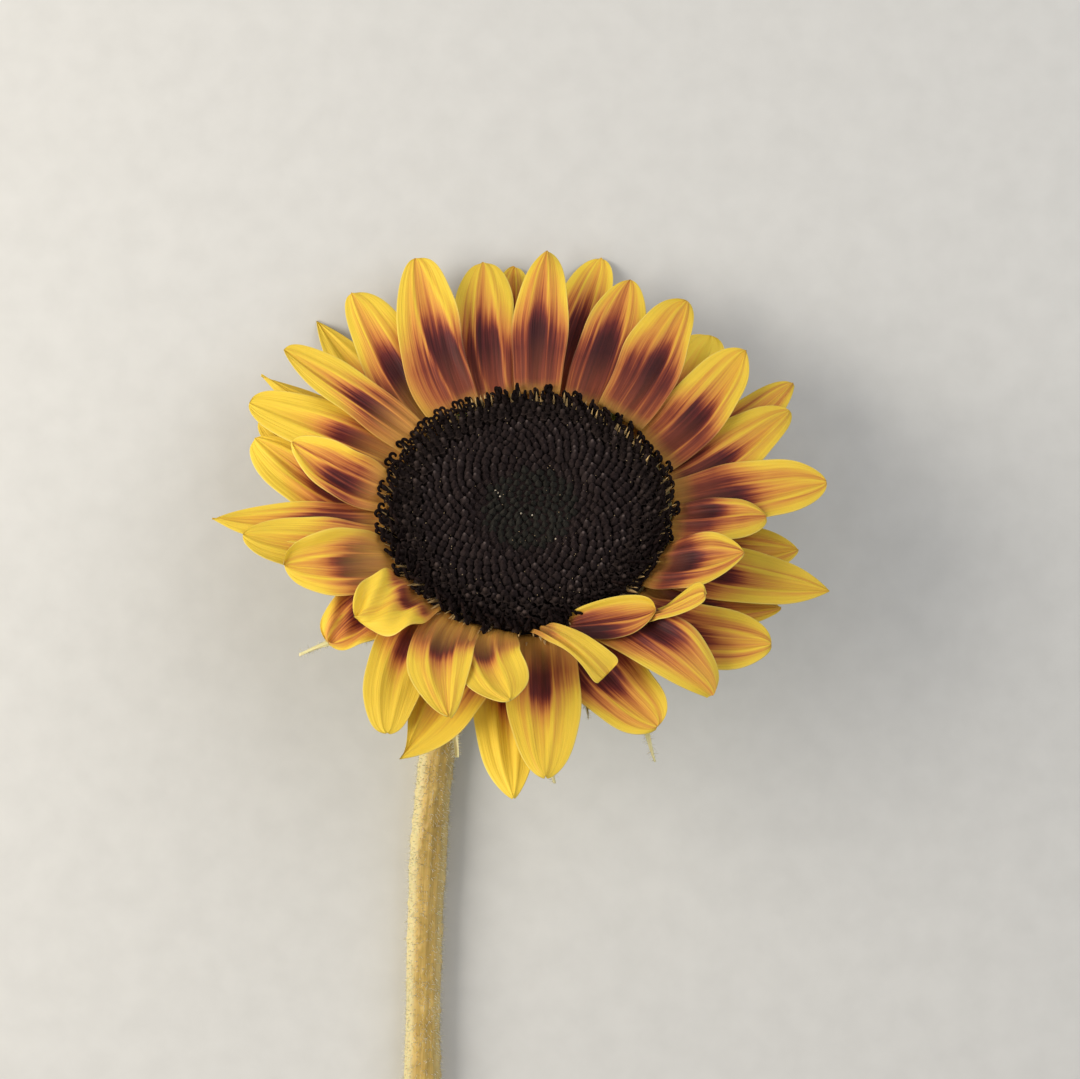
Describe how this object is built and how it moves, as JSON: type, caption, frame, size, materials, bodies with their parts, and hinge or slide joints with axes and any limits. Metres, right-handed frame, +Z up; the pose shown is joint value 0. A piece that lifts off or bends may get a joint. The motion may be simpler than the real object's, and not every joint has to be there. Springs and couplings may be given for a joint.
{
  "type": "cut sunflower",
  "caption": "Cut sunflower bloom on a short stem, two-coloured yellow and maroon petals round a dark disc, lying face up.",
  "frame": {"origin": "on the floor, under the middle of the whole flower's box", "axes": "+Z up from the floor towards the face of the bloom, -Y along the stem towards its cut"},
  "size_m": [0.1218, 0.1852, 0.0708],
  "materials": {
    "petal": "soft satin petal, golden yellow at the tip and margins, maroon towards the disc",
    "bract": "matt green leaf with short whitish hairs",
    "disc": "matt near-black brown florets",
    "head_back": "matt green flesh with short hairs",
    "stem": "satin yellow-green stalk, ribbed and rough with pale hairs"
  },
  "bodies": {
    "root": {"petal_01": "petal", "petal_02": "petal", "petal_03": "petal", "petal_04": "petal", "petal_05": "petal", "petal_06": "petal", "petal_07": "petal", "petal_08": "petal", "petal_09": "petal", "petal_10": "petal", "petal_11": "petal", "petal_12": "petal", "petal_13": "petal", "petal_14": "petal", "petal_15": "petal", "petal_16": "petal", "petal_17": "petal", "petal_18": "petal", "petal_19": "petal", "petal_20": "petal", "petal_21": "petal", "petal_22": "petal", "petal_23": "petal", "petal_24": "petal", "petal_25": "petal", "petal_26": "petal", "petal_27": "petal", "petal_28": "petal", "petal_29": "petal", "petal_30": "petal", "petal_31": "petal", "petal_32": "petal", "petal_33": "petal", "petal_34": "petal", "petal_35": "petal", "petal_36": "petal", "petal_37": "petal", "petal_38": "petal", "petal_39": "petal", "petal_40": "petal", "petal_41": "petal", "petal_42": "petal", "bract_01": "bract", "bract_02": "bract", "bract_03": "bract", "bract_04": "bract", "bract_05": "bract", "bract_06": "bract", "bract_07": "bract", "bract_08": "bract", "bract_09": "bract", "bract_10": "bract", "bract_11": "bract", "bract_12": "bract", "bract_13": "bract", "disc": "disc", "head_back": "head_back", "neck": "stem", "stem": "stem"}
  },
  "joints": []
}
